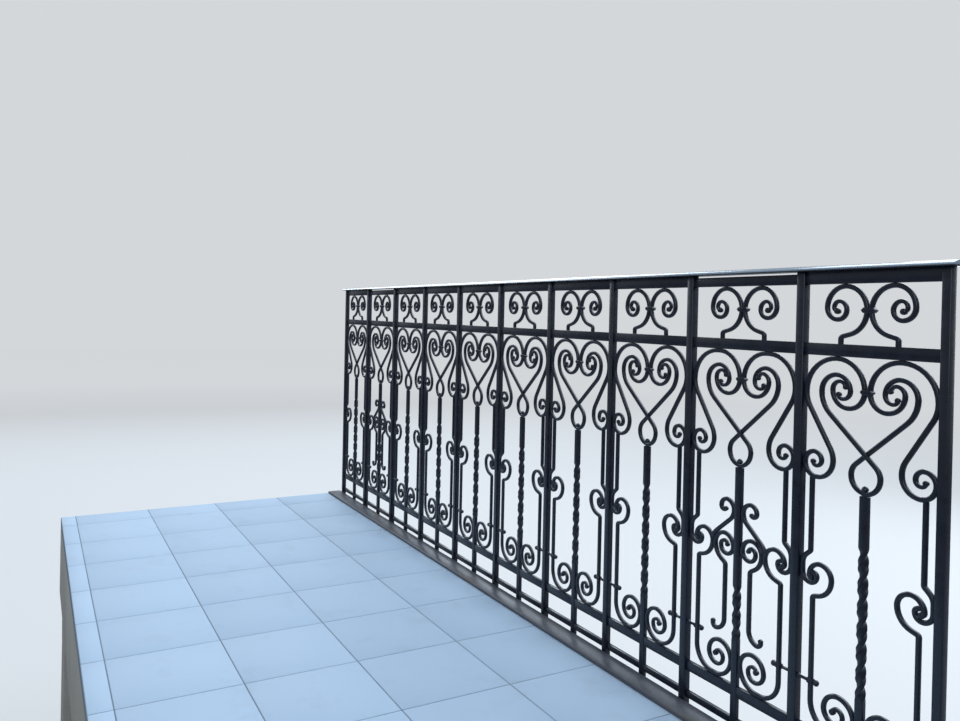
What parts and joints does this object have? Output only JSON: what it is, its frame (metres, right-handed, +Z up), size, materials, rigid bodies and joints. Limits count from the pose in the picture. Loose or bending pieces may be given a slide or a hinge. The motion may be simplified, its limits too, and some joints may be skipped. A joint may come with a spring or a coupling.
{
  "type": "iron balcony",
  "caption": "Courtyard gallery balcony: tiled deck on scrolled corbels, iron edge beam with scroll fascia, and a tall wrought-iron railing of hearts and scrolls.",
  "frame": {"origin": "middle of the deck slab's face against the wall, at half the slab's height", "axes": "+X along the railing, -Y out from the wall over the courtyard, +Z up"},
  "size_m": [3.192, 1.322, 2.0079],
  "materials": {
    "black_iron": "old black-blue gloss paint on forged bars, worn dull on the edges",
    "beam_paint": "blue-grey oil paint on rolled steel",
    "stucco": "matt lime plaster and cast stucco",
    "kerb_stone": "dark grey ground stone, slightly shiny",
    "floor_tile": "pale grey-blue ceramic tile with narrow joints"
  },
  "bodies": {
    "root": {"deck_slab": "stucco", "tile_bed": "floor_tile", "stone_kerb": "kerb_stone", "edge_beam": "beam_paint", "corbel_left": "stucco", "corbel_right": "stucco", "handrail": "black_iron", "top_rail": "black_iron", "frieze_rail": "black_iron", "lower_rail": "black_iron", "base_bar": "black_iron", "fascia_strip": "black_iron", "bead_bar": "black_iron", "fascia_scrolls": "black_iron", "plain_posts": "black_iron", "centre_bars": "black_iron", "heavy_post_1": "black_iron", "heavy_post_2": "black_iron", "heavy_post_3": "black_iron", "heavy_post_4": "black_iron", "frieze_scrolls_1": "black_iron", "frieze_scrolls_2": "black_iron", "frieze_scrolls_3": "black_iron", "frieze_scrolls_4": "black_iron", "frieze_scrolls_5": "black_iron", "frieze_scrolls_6": "black_iron", "frieze_scrolls_7": "black_iron", "frieze_scrolls_8": "black_iron", "frieze_scrolls_9": "black_iron", "frieze_scrolls_10": "black_iron", "heart_panel_1": "black_iron", "heart_panel_2": "black_iron", "heart_panel_3": "black_iron", "heart_panel_4": "black_iron", "heart_panel_5": "black_iron", "heart_panel_6": "black_iron", "heart_panel_7": "black_iron", "heart_panel_8": "black_iron", "heart_panel_9": "black_iron", "heart_panel_10": "black_iron"}
  },
  "joints": []
}
